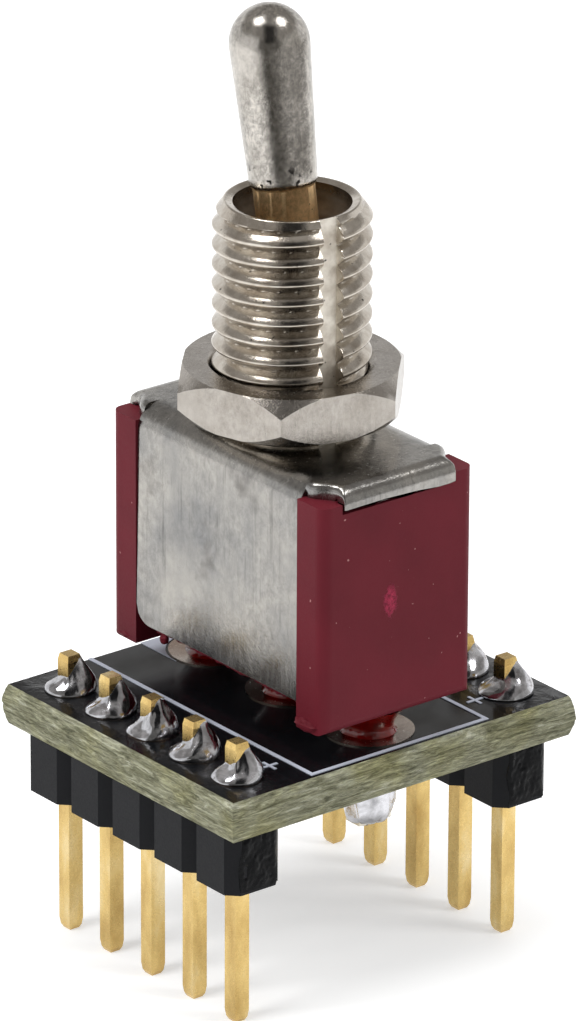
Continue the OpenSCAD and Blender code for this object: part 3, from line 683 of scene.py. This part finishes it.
def solder_piece(name, nodes, joints, material):
    """Solder drawn up the pins. Each joint is (x, y, base radius, height, lean angle, reach up the pin)."""
    columns, rows = 56, 26
    half_pin = (PIN_HIGH.x - PIN_LOW.x) / 2 - 0.01
    foot = BOARD_HIGH.z + 0.04
    verts, faces = [], []
    for n, (x, y, base, height, lean, climb) in enumerate(joints):

        def shape(angle, t):
            """Wide at the board, close round the square pin, and higher on the side it leans to."""
            toward = (0.5 + 0.5 * math.cos(angle - math.radians(lean))) ** 1.5
            tall = height * (0.55 + 0.45 * toward) + climb * toward
            pin = half_pin / max(abs(math.cos(angle)), abs(math.sin(angle)))
            radius = pin + (base - pin) * (1 - t ** 1.5) ** (1.9 - 0.5 * toward)
            radius += 0.10 * toward * math.sin(math.pi * min(1.0, t * 1.02))
            swell = wander(1.2 * math.cos(angle) + 9 * n, 1.2 * math.sin(angle) + x, 1.5 * t + n)
            radius += 0.15 * swell * math.sin(math.pi * min(1.0, 0.18 + 0.82 * t))
            return radius, foot + tall * t

        start = len(verts)
        verts += ring_points(columns, rows, x, y, shape)
        faces += ring_faces(columns, rows, start=start)
        faces.append(tuple(start + i * rows + rows - 1 for i in range(columns)))
    obj = make_object(name, verts, faces, "base", material, 70)
    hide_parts(*nodes)


def drop_piece(name, node, x, y, material):
    """Solder over the end of a terminal: a lumpy bowl under the board, lower on its -X side."""
    columns, rows = 48, 22
    radius, widest, deep = 1.0, 1.02, 2.32
    top = BOARD_LOW.z - 0.05

    def shape(angle, t):
        r = radius * (1 - max(0.0, t - 0.25) ** 3.8 / 0.75 ** 3.8) ** 0.5
        lump = wander(2.3 * math.cos(angle) + x, 2.3 * math.sin(angle) + y, 3.0 * t)
        r = min(r * (0.98 + 0.16 * lump * (1 - t * 0.3)), widest)
        tilt = 1 - 0.12 * t * (0.5 + 0.5 * math.cos(angle)) + 0.08 * (lump - 0.4) * t
        return r, top - deep * t * tilt

    obj = make_object(name, ring_points(columns, rows, x, y, shape), ring_faces(columns, rows), "base",
                      material, 70)
    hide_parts(node)


def seal_piece(name, node, x, y, material):
    """Sealing resin run down a terminal, in a funnel that flares to the housing and to the pad."""
    columns, rows = 56, 18
    waist, widest = 0.90, 1.5
    low, high = BOARD_HIGH.z + 0.05, HOUSING_LOW.z

    def shape(angle, t):
        radius = waist + 0.58 * t * t + 0.16 * max(0.0, 1 - t / 0.35) ** 2
        radius *= 1 + 0.08 * wander(1.4 * math.cos(angle) + y, 1.4 * math.sin(angle), 1.2 * t)
        return min(radius, widest), low + (high - low) * t

    obj = make_object(name, ring_points(columns, rows, x, y, shape), ring_faces(columns, rows), "base",
                      material, 70)
    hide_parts(node)


def squash_spring():
    """Gives the plunger spring a mesh of its own."""
    coil = frame["nodes"]["plunger_spring"]
    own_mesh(coil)


# ---- torn and rough plastic ----

def scar_piece(name, centre_x, end_y, low, high, material):
    """The rough face left where a header was snapped off its strip."""
    columns, rows = 30, 40
    half, proud, sunk = 0.84, 0.09, 0.05
    verts, faces = [], []
    for i in range(columns + 1):
        for k in range(rows + 1):
            u, v = -1 + 2 * i / columns, k / rows
            rag = 0.10 * wander(3.0 * v, 2.0 * u + centre_x, 1.0)
            x = centre_x + u * (half + rag * abs(u))
            z = low + 0.04 + (high - low - 0.06) * v
            z += (0.10 * wander(3 * x, 0.0, 5.0) + 0.06) * (1 - v)
            rim = min(1.0, 6 * (1 - abs(u)), 6 * min(v, 1 - v) + 0.15)
            tear = wander(2.6 * x, 1.7 * z, centre_x) + 0.6 * wander(8 * x, 6 * z, 3.0)
            verts.append((x, end_y - clamp(proud * rim * (0.55 + 0.75 * tear), -0.01, proud), z))
    tall = rows + 1
    for i in range(columns):
        for k in range(i * tall, i * tall + rows):
            faces.append((k, k + tall, k + tall + 1, k + 1))
    count = len(verts)
    rim_loop = [i * tall for i in range(columns + 1)]
    rim_loop += [columns * tall + k for k in range(1, rows + 1)]
    rim_loop += [i * tall + rows for i in range(columns - 1, -1, -1)]
    rim_loop += list(range(rows - 1, 0, -1))
    verts += [(verts[v][0], end_y + sunk, verts[v][2]) for v in rim_loop]
    for i, v in enumerate(rim_loop):
        j = (i + 1) % len(rim_loop)
        faces.append((v, rim_loop[j], count + j, count + i))
    faces.append(tuple(range(count, len(verts))))
    make_object(name, verts, faces, "base", material, 30)


def flash_strip():
    """Ragged flash along the foot of the housing, under the side plate."""
    first_y, last_y, steps, around = 4.55, -4.75, 150, 8
    loops = []
    for i in range(steps + 1):
        y = first_y + (last_y - first_y) * i / steps
        hang = clamp(0.12 + 0.16 * wander(1.3 * y, 2.0, 0.0) + 0.12 * wander(5 * y, 1.0, 0.0), 0.02, 0.34)
        thick = 0.10 + 0.04 * wander(3 * y, 0.0, 6.0)
        x = HOUSING_LOW.x + 0.22 + 0.05 * wander(1.1 * y, 8.0, 0.0)
        half = 0.5 * hang
        angles = [2 * math.pi * k / around for k in range(around)]
        loops.append([(x + thick * math.cos(a), y, FRAME_LOW.z + 0.06 - half + (half + 0.06) * math.sin(a))
                      for a in angles])
    return loft(loops)


def flash_piece(material):
    """Moulding flash on the housing's left side, with thicker lumps at its ends."""
    columns, rings = 28, 18
    verts, faces = flash_strip()
    left, foot = HOUSING_LOW.x, HOUSING_LOW.z
    lumps = [((left + 0.10, -5.35, foot + 0.22), (0.34, 0.62, 0.24)),
             ((left + 0.16, 3.32, foot + 0.66), (0.16, 0.20, 0.20)),
             ((left + 0.18, 5.60, foot + 0.14), (0.22, 0.60, 0.16))]
    for n, ((x, y, z), (size_x, size_y, size_z)) in enumerate(lumps):
        start = len(verts)
        for i in range(columns):
            a = 2 * math.pi * i / columns
            for k in range(rings):
                b = math.pi * (k + 0.5) / rings
                spread = 1 + 0.30 * wander(1.6 * math.cos(a) * math.sin(b), 1.6 * math.sin(a) + n, 2 * b)
                across = spread * math.sin(b)
                verts.append((x + size_x * across * math.cos(a), y + size_y * across * math.sin(a),
                              z + size_z * spread * math.cos(b)))
        faces += ring_faces(columns, rings, start=start)
        for end in (start, start + rings - 1):
            faces.append(tuple(end + i * rings for i in range(columns)))
    make_object("moulding_flash", verts, faces, "base", material, 60)


# ---- board ----

def board_piece(material):
    """The board with its sawn, swollen and frayed edges, and a black mask on both faces."""
    swell = 0.20
    half_x = (BOARD_HIGH.x - BOARD_LOW.x) / 2 - swell
    half_y = (BOARD_HIGH.y - BOARD_LOW.y) / 2 - swell
    steps_x, steps_y, layers = 110, 96, 14
    outline = [(-1 + 2 * i / steps_x, -1.0) for i in range(steps_x)]
    outline += [(1.0, -1 + 2 * i / steps_y) for i in range(steps_y)]
    outline += [(-u, -v) for u, v in outline]
    loops = []
    for k in range(layers + 1):
        t = k / layers
        out = 1 - abs(2 * t - 1) ** 1.7
        z = BOARD_LOW.z + (BOARD_HIGH.z - BOARD_LOW.z) * t
        loop = []
        for u, v in outline:
            x, y = u * half_x, v * half_y
            slow = 0.5 + 0.5 * wander(2.4 * x, 2.4 * y, 3.5 * z)
            fray = 0.72 * out + 0.28 * out * slow + 0.30 * out * wander(9 * x, 9 * y, 16 * z)
            grow = swell * clamp(fray)
            if k in (0, layers):
                grow = 0.02 * max(0.0, wander(6 * x, 6 * y, z)) - 0.02
            x += grow * (u if abs(u) == 1 else 0)
            y += grow * (v if abs(v) == 1 else 0)
            loop.append((x, y, z))
        loops.append(loop)
    verts, faces = loft(loops)
    obj = make_object("sawn_board", verts, faces, "base", material, 40)
    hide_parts("circuit_board")


# ---- studio and camera, in metres ----

MIDDLE = Vector((0, 0, 0.018))
UP = Vector((0, 0, 1))
FRONT = Vector((-0.62, -0.785, 0))
ACROSS = Vector((0.785, -0.62, 0))
SIDE, ALONG = ACROSS * 0.92 + FRONT * 0.38, FRONT * 0.92 - ACROSS * 0.38

# Lamps: name, place, width, height, power, and whether only reflections show it
LAMPS = [("left_box", (-0.42, 0.06, 0.30), 0.22, 0.34, 1.40, False),
         ("right_box", (0.30, -0.36, 0.28), 0.18, 0.34, 0.95, False),
         ("top_box", (0.02, 0.05, 0.55), 0.40, 0.40, 1.35, False),
         ("glint_left", ACROSS * -0.192 + UP * 0.432 + MIDDLE, 0.13, 0.13, 0.55, True),
         ("glint_right", ACROSS * 0.2112 + UP * 0.432 + MIDDLE, 0.13, 0.13, 0.55, True)]

# Cards that glow only in the metal's reflections, painted reflections of a ceiling, a dark room, a table
# and a grey wall and floor: name, middle, half of each side, and colour
CARDS = [("ceiling", UP * 0.62, (1.2, 0, 0), (0, 1.2, 0), (0.36, 0.345, 0.33)),
         ("dark_room", FRONT * 0.62 + UP * 0.16, ACROSS * 0.42, UP * 0.22, (0.17, 0.165, 0.155)),
         ("dark_strip", FRONT * 0.36 + UP * 0.40, ACROSS * 0.15, UP * 0.20 - FRONT * 0.16,
          (0.02, 0.02, 0.02)),
         ("table_edge", FRONT * 0.13 + UP * 0.002, ACROSS * 0.06, FRONT * 0.07, (0.15, 0.145, 0.135)),
         ("table_far", FRONT * 0.38 + UP * 0.002, ACROSS * 0.24, FRONT * 0.18, (0.15, 0.145, 0.135)),
         ("grey_wall", SIDE * 0.60 + UP * 0.12, ALONG * 0.42, UP * 0.24, (0.60, 0.59, 0.57)),
         ("grey_floor", SIDE * 0.34 + UP * 0.002, ALONG * 0.30, SIDE * 0.24, (0.50, 0.49, 0.48))]

CAMERA_PLACE = Vector((-0.185184, -0.233642, 0.140336))
CAMERA_AZIMUTH, CAMERA_ELEVATION, CAMERA_ROLL = (math.radians(d) for d in (-38.402, 22.461, 0.264))


def seen_directly(shader):
    """1 for rays from the camera, from mirror-like surfaces and through glass."""
    path = shader.add("ShaderNodeLightPath").outputs
    first = shader.math("MAXIMUM", path["Is Camera Ray"], path["Is Glossy Ray"])
    return shader.math("MAXIMUM", first, path["Is Transmission Ray"])


def rectangle(name, middle, half_side, other_half):
    """A flat staged rectangle with its own material. Gives the object and the material's shader."""
    middle, half_side, other_half = Vector(middle), Vector(half_side), Vector(other_half)
    corners = [middle + a * half_side + b * other_half for a, b in ((-1, -1), (1, -1), (1, 1), (-1, 1))]
    mesh = bpy.data.meshes.new(name)
    mesh.from_pydata(corners, [], [(0, 1, 2, 3)])
    obj = link(bpy.data.objects.new(name, mesh))
    shader = Shader(bpy.data.materials.new(name))
    mesh.materials.append(shader.owner)
    return obj, shader


def pale_floor():
    """A pale floor that keeps the shadow, with a glow where it is seen directly."""
    _, shader = rectangle("floor", (0, 0, 0), (1.5, 0, 0), (0, 1.5, 0))
    shader.surface(Base_Color=(0.82, 0.82, 0.82, 1), Roughness=0.9)
    glow, both = shader.add("ShaderNodeEmission"), shader.add("ShaderNodeAddShader")
    shader.feed(glow.inputs["Strength"], shader.math("MULTIPLY", seen_directly(shader), 0.45))
    shader.feed(both.inputs[0], shader.tree.nodes["Principled BSDF"].outputs["BSDF"])
    shader.feed(both.inputs[1], glow.outputs["Emission"])
    shader.feed(shader.tree.nodes["Material Output"].inputs["Surface"], both.outputs["Shader"])


def white_world():
    """A white background over soft grey light."""
    world = bpy.data.worlds.new("studio")
    bpy.context.scene.world = world
    shader = Shader(world)
    back = shader.tree.nodes["Background"]
    shader.feed(back.inputs["Strength"], 1.0)
    shader.feed(back.inputs["Color"], shader.mix(seen_directly(shader), (0.34, 0.34, 0.34), (1, 1, 1)))


def softbox(name, place, width, height, power, only_mirrored):
    """A rectangular lamp that faces the switch."""
    data = bpy.data.lights.new(name, "AREA")
    data.energy = power
    data.shape = "RECTANGLE"
    data.size = width
    data.size_y = height
    obj = link(bpy.data.objects.new(name, data))
    obj.location = place
    obj.rotation_euler = (MIDDLE - Vector(place)).to_track_quat("-Z", "Y").to_euler()
    obj.visible_glossy = only_mirrored
    obj.visible_diffuse = not only_mirrored


def card(name, middle, half_side, other_half, colour):
    """A glowing card that only the metal's reflections see: a painted reflection of the room."""
    obj, shader = rectangle(name, middle, half_side, other_half)
    shader.surface(Base_Color=(0, 0, 0, 1), Specular_IOR_Level=0, Emission_Color=(*colour, 1),
                   Emission_Strength=1)
    obj.visible_camera = obj.visible_diffuse = obj.visible_shadow = obj.visible_transmission = False


def photo_camera():
    """Camera where the photograph was taken from."""
    data = bpy.data.cameras.new("camera")
    data.sensor_width = 36
    data.lens = 307.2
    data.clip_start = 0.01
    data.clip_end = 10
    level = math.cos(CAMERA_ELEVATION)
    back = Vector((math.sin(CAMERA_AZIMUTH) * level, -math.cos(CAMERA_AZIMUTH) * level,
                   math.sin(CAMERA_ELEVATION)))
    right = Vector((math.cos(CAMERA_AZIMUTH), math.sin(CAMERA_AZIMUTH), 0))
    up = back.cross(right)
    rolled_right = math.cos(CAMERA_ROLL) * right + math.sin(CAMERA_ROLL) * up
    rolled_up = math.cos(CAMERA_ROLL) * up - math.sin(CAMERA_ROLL) * right
    camera = link(bpy.data.objects.new("camera", data))
    turn = Matrix((rolled_right, rolled_up, back)).transposed().to_4x4()
    camera.matrix_world = Matrix.Translation(CAMERA_PLACE) @ turn
    bpy.context.scene.camera = camera


bpy.context.scene.view_settings.view_transform = "Standard"
photo_camera()
pale_floor()
white_world()
for lamp in LAMPS:
    softbox(*lamp)
for reflected in CARDS:
    card(*reflected)

# ---- materials of the switch ----

lever_nickel = plated("lever_nickel", (0.53, 0.50, 0.46), (0.40, 0.375, 0.34), (0.11, 0.24), 1100,
                      grain=(5200, 0.50, 1.14), pits=0.79, chips="shoulder",
                      painted={"brass": ((1.9, 1.45, 0.88), 0.55)})
# The bushing's bore is tinted darker and rougher: painted shade inside it.
bushing_nickel = plated("bushing_nickel", (0.60, 0.555, 0.49), (0.42, 0.37, 0.31), (0.12, 0.25), 1400,
                        pits=0.77,
                        painted={"milled": ((1.6, 1.65, 1.7), 0.6), "bore": ((0.38, 0.34, 0.30), 0.4)})
nut_nickel = plated("nut_nickel", (0.43, 0.40, 0.365), (0.36, 0.33, 0.295), (0.18, 0.30),
                    grain=(4200, 0.82, 1.08))
sheet_nickel = plated("sheet_nickel", (0.41, 0.392, 0.362), (0.225, 0.225, 0.225), (0.13, 0.30), 230,
                      (5000, 5000, 600), grain=(3000, 0.78, 1.08), stains=(300, 0.57, (0.15, 0.14, 0.13)),
                      lines=(3600, 3600, 140))
steel = plated("spring_steel", (0.6, 0.6, 0.6), (0.4, 0.4, 0.4), (0.25, 0.35))
silver = plated("contact_silver", (0.82, 0.82, 0.80), (0.6, 0.6, 0.58), (0.2, 0.3))
terminal_tin = plated("terminal_tin", (0.74, 0.71, 0.62), (0.5, 0.46, 0.38), (0.25, 0.4))
pad_tin = plated("pad_tin", (0.46, 0.40, 0.35), (0.26, 0.17, 0.12), (0.14, 0.30), 420)
red = moulded("red_housing", (0.134, 0.013, 0.022), (0.45, 0.58), specks=(0.42, 0.20, 0.20), shine=0.13,
              scuff=((-0.28, -6.33, 15.65), (0.42, 0.8, 0.84), (0.42, 0.034, 0.080)))
black = moulded("black_header", (0.0085, 0.009, 0.011), (0.40, 0.55), shine=0.14)
torn_black = moulded("torn_plastic", (0.003, 0.0033, 0.004), (0.10, 0.40), grain=2600, shine=0.09)
ivory = moulded("plunger_plastic", (0.70, 0.66, 0.55), (0.4, 0.5))
ink = moulded("legend_ink", (0.52, 0.55, 0.64), (0.5, 0.7))
laminate = board_material()
resin = resin_material()
gold = gold_material()
solder = solder_material()

# ---- CAD nodes that keep their shape ----

PINS = [f"pin_{side}_{i}" for side in ("left", "right") for i in range(1, 6)]
dress(nut_nickel, "mounting_nut")
dress(red, "housing")
dress(steel, "pivot_pin", "plunger_spring")
dress(ivory, "plunger")
dress(silver, "rocker_contact", "contact_front", "contact_rear")
dress(terminal_tin, "terminal_front", "terminal_centre", "terminal_rear")
dress(ink, "board_legend")
dress(pad_tin, "header_pads", "terminal_pads")
dress(black, "header_left", "header_right")
dress(gold, *PINS)
soften("mounting_nut", 0.05)
soften("housing", 0.20, 3, keep_width=True)
for header in ("header_left", "header_right"):
    soften(header, 0.04)
for pin in PINS:
    soften(pin, 0.05)
squash_spring()

# ---- pieces in mesh code ----

# Each joint of a row, front to rear: base radius, height, lean angle, reach up the pin
LEFT_JOINTS = [(0.98, 1.02, -35, 0.16), (0.98, 1.05, -50, 0.26), (0.96, 1.12, -60, 0.26),
               (0.98, 0.98, -45, 0.24), (0.98, 1.02, -20, 0.30)]
RIGHT_JOINTS = [(1.05, 1.05, -30, 0.18), (1.0, 1.0, 0, 0.30), (0.98, 0.95, 60, 0.3),
                (0.95, 1.0, 120, 0.3), (0.98, 0.95, 200, 0.3)]
ROW_X, PIN_PITCH, PIN_SHIFT_Y = 6.35, 2.54, 0.05
TERMINALS = (("front", -4.70), ("centre", 0.0), ("rear", 4.70))

lever_piece(lever_nickel)
bushing_piece(bushing_nickel)
frame_piece(sheet_nickel)
for side, row_x, joints in (("left", -ROW_X, LEFT_JOINTS), ("right", ROW_X, RIGHT_JOINTS)):
    placed = [(row_x, PIN_SHIFT_Y + (i - 2) * PIN_PITCH, *joint) for i, joint in enumerate(joints)]
    solder_piece(f"solder_joints_{side}", [f"solder_{side}"], placed, solder)
for place, offset in TERMINALS:
    drop_piece(f"solder_drop_{place}", f"solder_{place}", AXIS_X, AXIS_Y + offset, solder)
    seal_piece(f"resin_seal_{place}", f"seal_{place}", AXIS_X, AXIS_Y + offset, resin)
board_piece(laminate)
flash_piece(red)
for side in ("left", "right"):
    low, high = in_mm(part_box("header_" + side))
    scar_piece(f"snapped_end_{side}", (low.x + high.x) / 2, low.y, low.z, high.z, torn_black)
